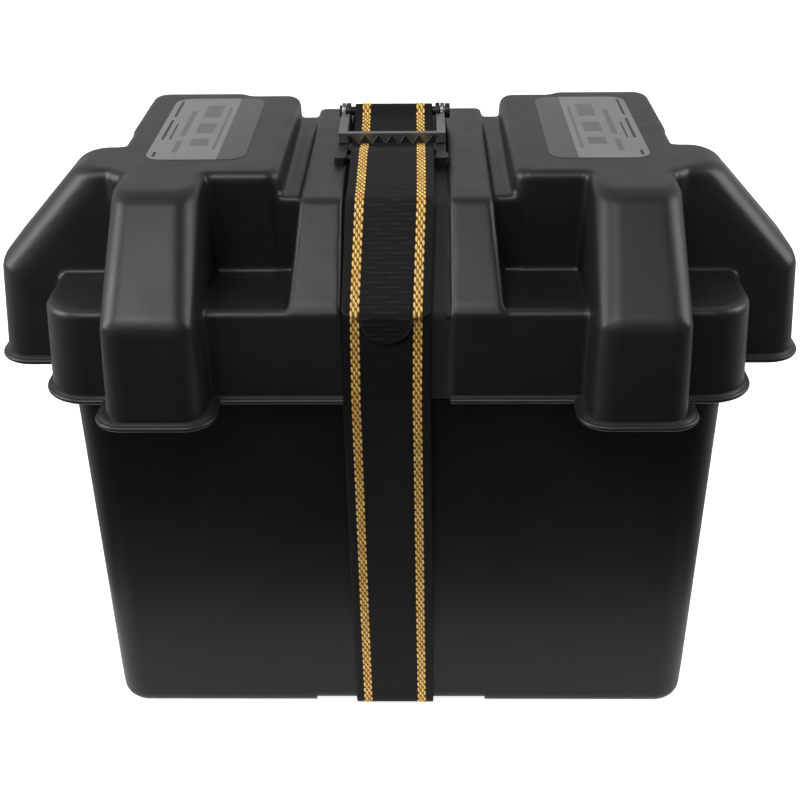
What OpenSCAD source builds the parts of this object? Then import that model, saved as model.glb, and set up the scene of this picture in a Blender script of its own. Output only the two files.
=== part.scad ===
// Battery box for a Group 24 battery: a tapered tub, a lift-off lid with four cable hoods,
// and a webbing hold-down strap with a toothed clamp buckle.
// Millimetres. +Z is up, the front is -Y, and the origin is the middle of the base.

/* [Tub] */
// Length of the tub's base, along X
tub_len = 279.5; // [240:0.5:340]
// Width of the tub's base, along Y
tub_wid = 195.5; // [165:0.5:240]
// Height of the tub
tub_h = 215.2; // [180:0.1:260]
// Outward lean of the tub's walls, in degrees
tub_draft = 1.57; // [0.5:0.01:2.5]
// Radius of the tub's upright corners
tub_corner = 14; // [8:0.5:24]
// Radius of the edge round the tub's base
base_edge = 7; // [3:0.5:10]
// Thickness of the tub's walls
tub_wall = 3; // [2:0.1:4]
// Thickness of the tub's floor
floor_t = 4.5; // [4:0.1:7]
// Height of the ribs that the battery stands on
floor_rib_h = 3; // [1:0.5:6]
// Width of each floor rib
floor_rib_w = 4; // [2:0.5:8]
// Number of floor ribs
floor_ribs = 6; // [2:2:10]
// Width of the strap channel under the base
channel_w = 84; // [44:1:120]
// Depth of the strap channel under the base
channel_d = 1.7; // [1.4:0.1:2.5]

/* [Lid] */
// Thickness of the lid's walls
lid_wall = 3; // [2:0.1:4]
// Gap between the tub's rim and the lid's underside
seat_gap = 0.3; // [0.2:0.05:1]
// Gap between the tub's rim and the skirt, front and back
side_gap = 0.85; // [0.5:0.05:3]
// Gap between the tub's rim and the skirt, at the ends
end_gap = 2.3; // [0.5:0.05:4]
// How far the skirt hangs down over the tub
skirt_lap = 38.7; // [20:0.1:60]
// How far the skirt leans out from its ledge to its rim
skirt_flare = 1.6; // [0.5:0.1:4]
// Radius of the skirt's upright corners
skirt_corner = 19; // [12:0.5:30]
// How far the rolled lip stands out round the rim
lip_out = 2.5; // [1:0.1:4]
// Height of the rolled lip
lip_h = 2.5; // [1.5:0.1:5]
// Radius of the lid's top edges
top_edge = 5; // [2:0.5:7]

/* [Raised top] */
// Height of the side plateaus above the ledge
plateau_h = 45.9; // [30:0.1:70]
// Height of the central block above the ledge
block_h = 37.5; // [24:0.1:60]
// Depth of the valleys between the block and the plateaus
valley_d = 3; // [1:0.1:8]
// Depth of the ledge in front of the plateaus
front_ledge = 44.5; // [30:0.5:60]
// Depth of the ledge behind the plateaus
rear_ledge = 41.5; // [30:0.5:60]
// Depth of the ledge at the lid's ends
end_ledge = 24.6; // [16:0.1:40]
// Half the gap between the two plateaus, at their top
plateau_gap = 51; // [40:0.5:60]
// How much further out the plateaus' inner sides stand at their top than at their foot
plateau_lean = 3; // [0:0.5:5]
// Half the width of the central block's top
block_half = 41.5; // [32:0.5:45]
// Length of the slope at the block's front, along Y
block_slope = 34.8; // [20:0.1:50]
// How much longer the slope at the block's back is
rear_slope_more = 2.6; // [0:0.1:6]
// Width of each rear corner block
buttress_w = 50; // [20:1:60]
// How far the rear corner blocks' tops reach behind the plateaus
buttress_out = 5; // [0:0.5:15]

/* [Cable hoods] */
// Height of the hoods' break above the ledge
break_h = 3.5; // [0:0.1:15]
// Distance of each front hood from the middle of the lid
hood_x = 101.3; // [90:0.1:110]
// Width of the front hoods, at their top
hood_w = 41.6; // [30:0.1:50]
// How far the front hoods' tops reach in front of the plateaus
hood_top_out = 26.4; // [15:0.1:35]
// How far the front hoods stand out from the skirt
hood_out = 23; // [12:0.1:35]
// How much wider a front hood is at its rim, on each side
hood_flare = 2.4; // [0:0.1:5]
// Distance of the end hoods in front of the lid's middle
end_hood_y = 39.8; // [20:0.1:50]
// Width of the end hoods, at their top
end_hood_w = 37.5; // [25:0.1:50]
// How far the end hoods' tops reach beyond the plateaus
end_hood_top_out = 15.3; // [8:0.1:25]
// How far the end hoods stand out from the skirt
end_hood_out = 29; // [15:0.1:40]
// How much wider an end hood is at its rim, on each side
end_hood_flare = 11; // [0:0.1:15]
// Radius of the hoods' upright corners
hood_corner = 8; // [3:0.5:12]
// How far a hood's lower face leans out
hood_lean = 3.3; // [0.5:0.1:6]

/* [Strap] */
// Width of the webbing
web_w = 38; // [25:0.5:42]
// Thickness of the webbing
web_t = 1.3; // [0.8:0.1:1.3]
// Sideways place of the strap on the box
strap_x = -3; // [-3:0.1:2]
// Width of the strap groove in the lid
groove_w = 46; // [44:0.5:56]
// Depth of the strap groove over the block
groove_d = 3; // [1.5:0.1:3]
// Depth of the strap groove in the skirt
skirt_groove = 1.5; // [0.5:0.1:2]
// Height of the tail's tip above the lid's rim
tail_tip = 28; // [20:1:34]

/* [Buckle] */
// Width of the buckle over its rails
buckle_w = 50.4; // [48:0.1:56]
// Thickness of the buckle's rails
rail_t = 4.4; // [3:0.1:5]
// Height of the frame's rails
rail_h = 3; // [2.5:0.1:4]
// Distance of the pin behind the lid's middle
pin_y = 35; // [30:0.5:45]
// Height of the pin above the block
pin_up = 8; // [7:0.1:11]
// Radius of the pin
pin_r = 2.2; // [1.5:0.1:2.5]
// Radial clearance of the clamp on the pin
pin_clear = 0.05; // [0.02:0.01:0.1]
// Radius of the pin's head
pin_head_r = 3.6; // [3:0.1:5]
// Radius of the ears round the pin
ear_r = 3.9; // [3.6:0.1:5]
// Thickness of the toothed bar
tooth_bar_t = 2.8; // [2:0.1:4]
// Number of teeth on the bar
teeth = 6; // [4:1:8]
// Distance between teeth
tooth_pitch = 6.4; // [4:0.1:7]
// Height of the teeth
tooth_h = 4.2; // [2:0.1:4.5]
// Gap between the teeth and the webbing
bite_gap = 0.3; // [0.2:0.05:1]

/* [Labels] */
// Width of each label, along X
label_w = 45; // [30:0.5:60]
// Length of each label, along Y
label_l = 101; // [60:0.5:110]
// Distance of each label's middle from the lid's middle, along X
label_x = 90.5; // [80:0.5:100]
// Distance of each label's middle behind the lid's middle, along Y
label_y = 6.5; // [0:0.5:10]
// Thickness of each label
label_t = 0.25; // [0.1:0.05:0.5]
// Radius of the labels' corners
label_corner = 8; // [2:0.5:12]

/* [Hidden] */

sheet = 0.01;          // thickness of the thin slabs that a loft is stretched over
corner_steps = 6;      // points round a quarter corner
edge_steps = 4;        // levels round an edge
far = 400;             // beyond the whole object
layer = 0.05;          // gap between layers of webbing
thread_t = 0.35;       // thickness of the stitching thread
play = 0.3;            // gap between parts that move past each other
near_tip = 0.3;        // half the width of a tooth's blunt tip
$fn = 48;

// the lid's levels
lean = tan(tub_draft);
rim_z = tub_h - skirt_lap;
ceiling_z = tub_h + seat_gap;
ledge_z = ceiling_z + lid_wall;
plateau_z = ledge_z + plateau_h;
block_z = ledge_z + block_h;
valley_z = block_z - valley_d;
break_z = ledge_z + break_h;
groove_z = block_z - groove_d;

// the lid's half sizes at the ledge, and the raised top's outline
half_x = tub_len / 2 + tub_h * lean + end_gap + lid_wall;
half_y = tub_wid / 2 + tub_h * lean + side_gap + lid_wall;
front_y = -half_y + front_ledge;
rear_y = half_y - rear_ledge;
plateau_x = half_x - end_ledge;
inner_top = plateau_gap;
inner_foot = plateau_gap - plateau_lean;
block_front = -half_y + block_slope;
block_rear = half_y - block_slope - rear_slope_more;
buttress_x = plateau_x - buttress_w;

// the lid's details
small_edge = top_edge - 1;      // radius of the hoods' and the skirt's top edges
inner_edge = 2;                 // radius of the hollow's top edges
block_edge = 1.5;               // radius of the central block's top edges
block_corner = 3;               // radius of the central block's upright corners
small_corner = 2;               // radius of the upright corners that other blocks hide
root = 8;                       // how far the blocks run down below the ledge
end_hood_root = 90;             // where an end hood starts, within its plateau
end_hood_corner = hood_corner + 2;
slope_in = 0.45;                // a slope's top end moves in by this share of the wall
slope_foot_in = 1.05;           // and its foot by this one
break_in = 0.4;                 // the break below a slope moves down by this share
foot_gap = 2;                   // from the central block's foot to a plateau's
foot_sink = 0.6;                // how far the central block's foot lies below the ledge
lip_round = 0.8;                // radius of the rolled lip's edges

// the buckle's levels
rail_top = block_z + rail_h;
anvil_t = 1.2;          // thickness of the plate under the teeth
anvil_half = 5;         // and half its width
bar_t = 1.6;            // thickness of the front bar
clamp_web = 1.4;        // height of the toothed bar above its teeth
bite_z = block_z + anvil_t + layer;
tip_z = bite_z + web_t + bite_gap;
clamp_top = tip_z + tooth_h + clamp_web;
rail_out = buckle_w / 2;
rail_in = rail_out - rail_t;
lug_t = rail_t / 2 - play / 2;
pin_z = block_z + pin_up;
bar_y = -18;           // the front bar, inside the sewn loop
bar_half = 2.5;
bite_y = -2.6;         // the middle of the toothed bar
frame_front = -27;      // the front of the frame's feet
foot_l = 8;             // a foot's length
foot_out = 1;           // how far a foot stands out beyond its rail
foot_up = 0.5;          // and above it
foot_corner = 1.8;

// Points of a rectangle with round corners
function round_rect(x0, x1, y0, y1, r) =
    [for (c = [[x1 - r, y1 - r, 0], [x0 + r, y1 - r, 90],
               [x0 + r, y0 + r, 180], [x1 - r, y0 + r, 270]])
        for (i = [0 : corner_steps])
            let (a = c[2] + 90 * i / corner_steps)
            [c[0] + r * cos(a), c[1] + r * sin(a)]];

// A level of a loft is [z, x0, x1, y0, y1, corner radius]; this one is drawn in by d
function inset(l, d, z) =
    [z, l[1] + d, l[2] - d, l[3] + d, l[4] - d, max(l[5] - d, 0.6)];

// The levels round the top edge of a block whose outline is l
function top_levels(l, z, e) =
    [for (i = [0 : edge_steps])
        let (a = 90 * i / edge_steps)
        inset(l, e * (1 - cos(a)), z - sheet - e * (1 - sin(a)))];

// The levels round the bottom edge of a block whose outline is l
function bottom_levels(l, z, e) =
    [for (i = [0 : edge_steps])
        let (a = 90 * i / edge_steps)
        inset(l, e * (1 - sin(a)), z + e * (1 - cos(a)))];

module loft(levels) {
    hull()
        for (l = levels)
            translate([0, 0, l[0]])
                linear_extrude(sheet)
                    polygon(round_rect(l[1], l[2], l[3], l[4], l[5]));
}

module both_ends() {
    children();
    mirror([1, 0, 0]) children();
}

// ---- the strap's route, as points [y, z] on the face towards the box ----

function unit(v) = v / norm(v);
function left_of(v) = [-v[1], v[0]];

// Point i of a path, moved t to the path's left
function moved(p, i, t) =
    let (n = len(p),
         a = unit(p[max(i, 1)] - p[max(i, 1) - 1]),
         b = unit(p[min(i, n - 2) + 1] - p[min(i, n - 2)]),
         m = left_of(a) + left_of(b))
    p[i] + m * (2 * t / (m * m));

function moved_path(p, t) = [for (i = [0 : len(p) - 1]) moved(p, i, t)];
function reversed(p) = [for (i = [len(p) - 1 : -1 : 0]) p[i]];

// Where the line from a along u reaches the height z, or the depth y
function at_z(a, u, z) = a + u * ((z - a[1]) / u[1]);
function at_y(a, u, y) = a + u * ((y - a[0]) / u[0]);

// The groove's floor, from the front rim over the block to the rear rim
slope_f = unit([block_slope, block_h]);
slope_r = unit([-(half_y - block_rear), block_h]);
floor_f = [-half_y, ledge_z] - left_of(slope_f) * groove_d;
floor_r = [half_y, ledge_z] + left_of(slope_r) * groove_d;
skirt_f = half_y - skirt_groove;
groove = [[-skirt_f - skirt_flare, rim_z],
          at_y(floor_f, slope_f, -skirt_f),
          at_z(floor_f, slope_f, groove_z),
          at_z(floor_r, slope_r, groove_z),
          at_y(floor_r, slope_r, skirt_f),
          [skirt_f + skirt_flare, rim_z]];
lay = moved_path(groove, layer);

module webbing(path, t = web_t, w = web_w) {
    translate([strap_x - w / 2, 0, 0])
        rotate([90, 0, 90])
            linear_extrude(w)
                polygon(concat(path, reversed(moved_path(path, t))));
}

// The route from the base's edge up to the lid's rim; side is -1 in front and 1 behind
base_in = tub_wid / 2 - base_edge;
turn_r = base_edge + 0.4;
function riser() =
    concat([for (i = [0 : 6])
               let (a = 90 * i / 6)
               [-base_in - turn_r * sin(a), web_t + turn_r * (1 - cos(a))]],
           [[-skirt_f - skirt_flare - layer, rim_z - play]]);

// ---- tub ----

module tub_outline() {
    foot = [0, -tub_len / 2, tub_len / 2, -tub_wid / 2, tub_wid / 2, tub_corner];
    loft(concat(bottom_levels(foot, 0, base_edge),
                [inset(foot, -tub_h * lean, tub_h - sheet)]));
}

module tub_hollow() {
    foot = [0, -tub_len / 2, tub_len / 2, -tub_wid / 2, tub_wid / 2, tub_corner];
    low = inset(foot, tub_wall - floor_t * lean, floor_t);
    loft(concat(bottom_levels(low, floor_t, base_edge - tub_wall / 2),
                [inset(foot, tub_wall - (tub_h + 1) * lean, tub_h + 1)]));
}

// The channel that the strap lies in: along the base, and round its front and back edges
module strap_channel() {
    translate([-channel_w / 2, -far / 2, -1])
        cube([channel_w, far, channel_d + 1]);
    for (side = [0, 1])
        mirror([0, side, 0])
            translate([-channel_w / 2, 0, 0])
                rotate([90, 0, 90])
                    linear_extrude(channel_w)
                        polygon(concat(moved_path(riser(), -play),
                                       [[-far, rim_z], [-far, -1], [-base_in, -1]]));
}

module box_tub() {
    rib_gap = (tub_len - 2 * tub_corner) / floor_ribs;
    rib_l = tub_wid - 2 * (tub_wall + base_edge);
    color([0.07, 0.07, 0.075]) {
        difference() {
            tub_outline();
            tub_hollow();
            strap_channel();
        }
        for (i = [0 : floor_ribs - 1])
            translate([(i - (floor_ribs - 1) / 2) * rib_gap - floor_rib_w / 2,
                       -rib_l / 2, floor_t - 0.5])
                cube([floor_rib_w, rib_l, floor_rib_h + 0.5]);
    }
}

// ---- lid ----
// Each raised shape is drawn twice: at d = 0 for its outside, and with d as the wall's thickness
// for the hollow inside it.

module skirt(d) {
    l = [0, -half_x, half_x, -half_y, half_y, skirt_corner];
    e = d == 0 ? small_edge : small_edge - lid_wall;
    loft(concat([inset(l, d - skirt_flare, d == 0 ? rim_z : rim_z - 1)],
                top_levels(inset(l, d, 0), ledge_z - d, e)));
}

module plateau(d) {
    l = [0, inner_top + d, plateau_x - d, front_y + d, rear_y - d, top_edge + 1];
    foot = [ledge_z - root, inner_foot + d, plateau_x - d, front_y + d, rear_y - d, top_edge + 1];
    loft(concat([foot], top_levels(l, plateau_z - d, d == 0 ? top_edge : inner_edge)));
}

module rear_block(d) {
    l = [0, buttress_x + d, plateau_x - d, 0, rear_y + buttress_out - d, top_edge + 1];
    low = [ledge_z - d - 1, buttress_x + d, plateau_x - d, 0, half_y - d - break_in, block_corner];
    loft(concat([low], top_levels(l, plateau_z - d, d == 0 ? top_edge : inner_edge)));
}

module central_block(d) {
    top = d == 0 ? block_z : groove_z - d;
    deep = d == 0 ? 0 : d + groove_d;
    l = [0, -block_half + d, block_half - d, block_front + deep, block_rear - deep, block_corner];
    half_foot = inner_foot - foot_gap - d;
    low = [ledge_z - d - foot_sink, -half_foot, half_foot,
           -half_y + d * slope_foot_in, half_y - d * slope_foot_in, small_corner];
    loft(concat([low], top_levels(l, top, block_edge)));
}

module valley(d) {
    x = d == 0 ? inner_top : inner_top + d + 0.5;
    loft([for (z = [ledge_z - root, valley_z - d - sheet])
              [z, -x, x, front_y + d, rear_y - d, small_corner]]);
}

module front_hood(d) {
    l = [0, hood_x - hood_w / 2 + d, hood_x + hood_w / 2 - d,
         front_y - hood_top_out + d * slope_in, 0, hood_corner];
    broken = [break_z - d * break_in, l[1], l[2], -half_y - hood_out + d, 0, hood_corner];
    low = [d == 0 ? rim_z : rim_z - 1, l[1] - hood_flare, l[2] + hood_flare,
           -half_y - hood_out - hood_lean + d, 0, hood_corner];
    loft(concat([low, broken], top_levels(l, plateau_z - d, d == 0 ? small_edge : inner_edge)));
}

module end_hood(d) {
    l = [0, end_hood_root, plateau_x + end_hood_top_out - d * slope_in,
         -end_hood_y - end_hood_w / 2 + d, -end_hood_y + end_hood_w / 2 - d, hood_corner];
    grow = end_hood_flare / 2;
    broken = [break_z - d * break_in, end_hood_root, half_x + end_hood_out - d,
              l[3] - grow, l[4] + grow, end_hood_corner];
    low = [d == 0 ? rim_z : rim_z - 1, end_hood_root, half_x + end_hood_out + hood_lean / 2 - d,
           l[3] - end_hood_flare, l[4] + end_hood_flare, end_hood_corner];
    loft(concat([low, broken], top_levels(l, plateau_z - d, d == 0 ? small_edge : inner_edge)));
}

module raised_shapes(d) {
    skirt(d);
    central_block(d);
    valley(d);
    both_ends() {
        plateau(d);
        rear_block(d);
        front_hood(d);
        end_hood(d);
    }
}

// The rolled lip round the rim of the skirt and of each hood
module lip() {
    l = [rim_z, -half_x - skirt_flare, half_x + skirt_flare,
         -half_y - skirt_flare, half_y + skirt_flare, skirt_corner];
    lip_ring(l);
    both_ends() {
        hood_lip(hood_x - hood_w / 2 - hood_flare, hood_x + hood_w / 2 + hood_flare,
                 -half_y - hood_out - hood_lean, 0);
        hood_lip(end_hood_root, half_x + end_hood_out + hood_lean / 2,
                 -end_hood_y - end_hood_w / 2 - end_hood_flare,
                 -end_hood_y + end_hood_w / 2 + end_hood_flare);
    }
}

module hood_lip(x0, x1, y0, y1) {
    lip_ring([rim_z, x0, x1, y0, y1, hood_corner + 1]);
}

// A disc with a rolled edge that stands out round outline l
module lip_ring(l) {
    out = inset(l, -lip_out, rim_z);
    loft([inset(out, lip_round, rim_z), inset(out, 0, rim_z + lip_round),
          inset(out, 0, rim_z + lip_h - lip_round), inset(out, lip_out, rim_z + lip_h + 1)]);
}

module strap_groove() {
    outside = [[far, rim_z - 1], [far, far], [-far, far], [-far, rim_z - 1]];
    ends = [[groove[0][0], rim_z - 1], [groove[5][0], rim_z - 1]];
    translate([-groove_w / 2, 0, 0])
        rotate([90, 0, 90])
            linear_extrude(groove_w)
                polygon(concat([ends[0]], groove, [ends[1]], outside));
}

module lid_shell() {
    color([0.09, 0.09, 0.095])
        difference() {
            union() {
                raised_shapes(0);
                lip();
            }
            raised_shapes(lid_wall);
            strap_groove();
        }
}

// ---- labels ----

module label(side) {
    c = side * label_x;
    color([0.42, 0.42, 0.42])
        translate([0, 0, plateau_z])
            linear_extrude(label_t)
                polygon(round_rect(c - label_w / 2, c + label_w / 2,
                                   label_y - label_l / 2, label_y + label_l / 2,
                                   label_corner));
}

module label_left() label(-1);
module label_right() label(1);

// ---- strap ----

strap_black = [0.04, 0.04, 0.042];

module strap_bottom_run() {
    color(strap_black)
        translate([strap_x - web_w / 2, -base_in, 0])
            cube([web_w, 2 * base_in, web_t]);
}

module strap_front_run() {
    color(strap_black) webbing(riser());
}

module strap_back_run() {
    color(strap_black) mirror([0, 1, 0]) webbing(riser());
}

// The front end's route: up the skirt and slope, over the front bar, round it and back below
loop_top = block_z + bar_t + layer;
loop_low = block_z - layer;
loop_end = -50;        // where the sewn end stops
turn = 0.5;            // size of the corners where the webbing turns round the front bar
nose = bar_y + bar_half + turn + play;
front_route = [[lay[0][0], rim_z], lay[1], lay[2],
               [bar_y - bar_half - 1, loop_top], [nose - turn, loop_top],
               [nose, loop_top - turn], [nose, loop_low + turn],
               [nose - turn, loop_low], [bar_y - bar_half, loop_low],
               [loop_end, groove_z + web_t + turn]];

module strap_top_front() {
    color(strap_black) webbing(front_route);
}

// The free end's route from the bite over the pin, and down the back
pin_wrap = pin_r + 2 * layer;
back_route = concat([[bite_y, bite_z], [4, bite_z]],
                    [for (a = [115, 90, 65]) [pin_y + pin_wrap * cos(a), pin_z + pin_wrap * sin(a)]],
                    [lay[3], lay[4], [lay[5][0], rim_z]]);

module strap_top_back() {
    color(strap_black) webbing(back_route);
}

// The tail lies on the front run: from the bite over the loop and down to its tip
tail_gap = thread_t + 2 * layer;
tail_base = moved_path([for (i = [0 : 4]) front_route[i]], web_t + tail_gap);
tail_route = concat(tail_base, [[-6.5, bite_z], [bite_y, bite_z]]);

module strap_tail() {
    tip = rim_z + tail_tip;
    color(strap_black)
        intersection() {
            webbing(tail_route);
            translate([strap_x, far / 2, 0])
                rotate([90, 0, 0])
                    linear_extrude(far) {
                        translate([0, tip + web_w / 2])
                            circle(r = web_w / 2, $fn = 64);
                        translate([-web_w / 2, tip + web_w / 2])
                            square([web_w, far]);
                    }
        }
}

// Rows of thread that close the sewn loop
stitch_rows = 4;
stitch_columns = 6;
stitch_len = 4.2;
stitch_w = 0.8;
stitch_pitch = 5.6;    // between stitches along a row
row_pitch = 5;         // between rows
first_row = -46;

module strap_stitching() {
    sewn = moved_path(front_route, web_t);
    rise = (sewn[3] - sewn[2])[1] / (sewn[3] - sewn[2])[0];
    color([0.1, 0.1, 0.1])
        for (r = [0 : stitch_rows - 1], i = [0 : stitch_columns - 1])
            let (x = (i - stitch_columns / 2) * stitch_pitch + (stitch_pitch - stitch_len) / 2,
                 y = first_row + r * row_pitch)
            translate([strap_x + x, y, sewn[2][1] + rise * (y - sewn[2][0])])
                rotate([atan(rise), 0, 0])
                    cube([stitch_len, stitch_w, thread_t]);
}

// ---- buckle ----

buckle_black = [0.06, 0.06, 0.065];

module rod_x(x0, x1, r) {
    translate([x0, pin_y, pin_z])
        rotate([0, 90, 0])
            cylinder(h = x1 - x0, r = r);
}

// The pin has a round head on the right, and is riveted over on the left
head_t = 2.4;
rivet_t = 1;
rivet_out = 0.7;

// A bar with round long edges, from x0 to x1
module flat_bar(x0, x1, y, half, z, t) {
    translate([x0, 0, 0])
        rotate([90, 0, 90])
            linear_extrude(x1 - x0)
                polygon(round_rect(y - half, y + half, z, z + t, t / 2 - 0.05));
}

module frame_side() {
    rail_front = frame_front + foot_l - foot_corner;
    translate([rail_in, rail_front, block_z])
        cube([rail_t, pin_y + ear_r - rail_front, rail_h]);
    translate([rail_in, frame_front, block_z])
        linear_extrude(rail_h + foot_up)
            polygon(round_rect(0, rail_t + foot_out, 0, foot_l, foot_corner));
    difference() {
        union() {
            rod_x(rail_in, rail_in + lug_t, ear_r);
            translate([rail_in, pin_y - ear_r, block_z + 1])
                cube([lug_t, 2 * ear_r, pin_up - 1]);
        }
        rod_x(rail_in - 1, rail_in + lug_t + 1, pin_r);
    }
}

module buckle_frame() {
    color(buckle_black)
        translate([strap_x, 0, 0]) {
            both_ends() frame_side();
            flat_bar(-rail_in - 1, rail_in + 1, bar_y, bar_half, block_z, bar_t);
            flat_bar(-rail_in - 1, rail_in + 1, bite_y + 1, anvil_half, block_z, anvil_t);
        }
}

module clamp_side() {
    ear_in = rail_in + lug_t + play;
    back = pin_y - ear_r - 3;
    low = rail_top + play;
    front = bite_y - tooth_bar_t / 2;
    translate([rail_in + play, front, low])
        cube([rail_t - play, back - front, clamp_top - low]);
    difference() {
        union() {
            rod_x(ear_in, rail_out, ear_r);
            translate([ear_in, back - 1, low + 1])
                cube([rail_out - ear_in, pin_y - back + 1, clamp_top - low - 1]);
        }
        rod_x(ear_in - 1, rail_out + 1, pin_r + pin_clear);
    }
}

module buckle_clamp() {
    span = tooth_pitch * teeth;
    color(buckle_black)
        translate([strap_x, 0, 0]) {
            both_ends() clamp_side();
            translate([-rail_out + 1, bite_y - tooth_bar_t / 2, tip_z + tooth_h - 0.4])
                cube([buckle_w - 2, tooth_bar_t, clamp_top - tip_z - tooth_h + 0.4]);
            translate([-rail_in - 0.5, bite_y + 0.1, tip_z + tooth_h / 2])
                cube([2 * rail_in + 1, tooth_bar_t / 2 - 0.1, tooth_h / 2]);
            for (i = [0 : teeth - 1])
                translate([-span / 2 + (i + 0.5) * tooth_pitch, bite_y + tooth_bar_t / 2, tip_z])
                    rotate([90, 0, 0])
                        linear_extrude(tooth_bar_t)
                            polygon([[-near_tip, 0], [near_tip, 0], [tooth_pitch / 2, tooth_h],
                                     [-tooth_pitch / 2, tooth_h]]);
        }
}

module buckle_pin() {
    head_x = rail_out + play;
    color(buckle_black)
        translate([strap_x, 0, 0]) {
            rod_x(-head_x - rivet_t + 0.2, head_x + 1, pin_r);
            rod_x(head_x, head_x + head_t, pin_head_r);
            rod_x(-head_x - rivet_t, -head_x, pin_r + rivet_out);
        }
}

box_tub();
lid_shell();
label_left();
label_right();
strap_bottom_run();
strap_front_run();
strap_back_run();
strap_top_front();
strap_top_back();
strap_tail();
strap_stitching();
buckle_frame();
buckle_clamp();
buckle_pin();
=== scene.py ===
"""Looks for the battery box: lid and tub as moulded shells, one continuous hold-down strap, its buckle
and the labels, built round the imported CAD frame. Lengths below are in millimetres until mesh_object()
turns them into metres; the origin is the middle of the base, +Z is up and the front is -Y."""

import math

import bmesh
import bpy
import numpy as np
from mathutils import Matrix, Vector


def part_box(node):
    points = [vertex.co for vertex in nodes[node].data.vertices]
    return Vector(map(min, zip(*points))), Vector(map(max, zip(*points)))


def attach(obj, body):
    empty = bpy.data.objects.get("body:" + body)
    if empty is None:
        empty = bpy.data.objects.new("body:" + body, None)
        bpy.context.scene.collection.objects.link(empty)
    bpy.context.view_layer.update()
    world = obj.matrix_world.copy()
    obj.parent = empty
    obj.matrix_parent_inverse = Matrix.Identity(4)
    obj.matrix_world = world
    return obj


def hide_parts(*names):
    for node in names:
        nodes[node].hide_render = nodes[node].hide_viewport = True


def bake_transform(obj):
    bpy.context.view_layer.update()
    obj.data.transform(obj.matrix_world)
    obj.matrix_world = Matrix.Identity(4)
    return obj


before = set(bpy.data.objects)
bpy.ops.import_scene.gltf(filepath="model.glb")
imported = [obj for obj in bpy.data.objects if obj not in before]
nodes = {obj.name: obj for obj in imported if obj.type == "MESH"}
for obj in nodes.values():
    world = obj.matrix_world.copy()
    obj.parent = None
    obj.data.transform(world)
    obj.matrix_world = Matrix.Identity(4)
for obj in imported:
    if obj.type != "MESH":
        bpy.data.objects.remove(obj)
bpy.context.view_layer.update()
MM = 0.001


def box_mm(node):
    """Lowest and highest corner of a CAD node, in millimetres."""
    low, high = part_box(node)
    return low / MM, high / MM


# ---- sizes read from the frame ----
tub_low, tub_high = box_mm("box_tub")
lid_low, lid_high = box_mm("lid_shell")
label_low = box_mm("label_right")[0]
web_low, web_high = box_mm("strap_bottom_run")
tail_low = box_mm("strap_tail")[0]

TUB_H = tub_high.z
RIM_Z = lid_low.z
PLATEAU_Z = label_low.z
STRAP_X = (web_low.x + web_high.x) / 2
WEB_W = web_high.x - web_low.x
WEB_T = web_high.z - web_low.z

# ---- sizes that the frame's boxes don't give, as the CAD source has them ----
TUB_LEN, TUB_WID = 279.5, 195.5
TUB_CORNER, BASE_EDGE, TUB_WALL, FLOOR_T = 14.0, 7.0, 3.0, 4.5
RIB_H, RIB_W, RIB_COUNT = 3.0, 4.0, 6
CHANNEL_W, CHANNEL_D = 84.0, 1.7
LID_WALL, SEAT_GAP = 3.0, 0.3
SKIRT_FLARE, SKIRT_CORNER = 1.6, 19.0
LIP_OUT, LIP_H = 2.5, 2.5
BLOCK_H, VALLEY_D = 37.5, 3.0
FRONT_LEDGE, REAR_LEDGE, END_LEDGE = 44.5, 41.5, 24.6
PLATEAU_GAP, PLATEAU_LEAN = 51.0, 3.0
BLOCK_HALF, BLOCK_SLOPE, REAR_SLOPE_MORE, BLOCK_FLARE = 41.5, 34.8, 2.6, 4.5
BUTTRESS_W, BUTTRESS_OUT = 50.0, 5.0
BREAK_H, HOOD_X, HOOD_W, HOOD_TOP_OUT, HOOD_OUT, HOOD_FLARE = 3.5, 101.3, 41.6, 26.4, 23.0, 2.4
END_HOOD_Y, END_HOOD_W, END_HOOD_TOP_OUT, END_HOOD_OUT, END_HOOD_FLARE = 39.8, 37.5, 15.3, 29.0, 11.0
HOOD_LEAN = 3.3
LEDGE_R, PLATEAU_R, PLATEAU_CORNER, HOOD_R, HOOD_BREAK_R = 3.2, 4.2, 7.0, 10.5, 3.0
END_HOOD_R, END_HOOD_REAR_R = 14.0, 8.0
BLOCK_CORNER, BLOCK_EDGE, VALLEY_CORNER, VALLEY_EDGE = 2.8, 2.0, 3.0, 2.5
GROOVE_BREAK_R, GROOVE_EDGE, GROOVE_LIP, SHARP = 2.0, 0.9, 1.7, 0.1
HOOD_FILLET, VALLEY_FILLET, PLATEAU_FILLET, BLOCK_FILLET = 2.5, 1.5, 2.2, 1.6
INSIDE_CORNER = -2.6
THIN_WALL = 2.0
GROOVE_W, GROOVE_D, SKIRT_GROOVE = 46.0, 3.0, 1.5
END_GAP, SIDE_GAP = 2.3, 0.85

CEILING_Z = TUB_H + SEAT_GAP
LEDGE_Z = CEILING_Z + LID_WALL
BLOCK_Z = LEDGE_Z + BLOCK_H
VALLEY_Z = BLOCK_Z - VALLEY_D
GROOVE_Z = BLOCK_Z - GROOVE_D
BREAK_Z = LEDGE_Z + BREAK_H
LEAN = (tub_high.x - TUB_LEN / 2) / TUB_H
HALF_X = TUB_LEN / 2 + TUB_H * LEAN + END_GAP + LID_WALL
HALF_Y = TUB_WID / 2 + TUB_H * LEAN + SIDE_GAP + LID_WALL
FRONT_Y, REAR_Y = -HALF_Y + FRONT_LEDGE, HALF_Y - REAR_LEDGE
PLATEAU_X = HALF_X - END_LEDGE
BLOCK_FRONT = -HALF_Y + BLOCK_SLOPE
BLOCK_REAR = HALF_Y - BLOCK_SLOPE - REAR_SLOPE_MORE


# ---- distance fields: negative inside, in millimetres ----

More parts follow.
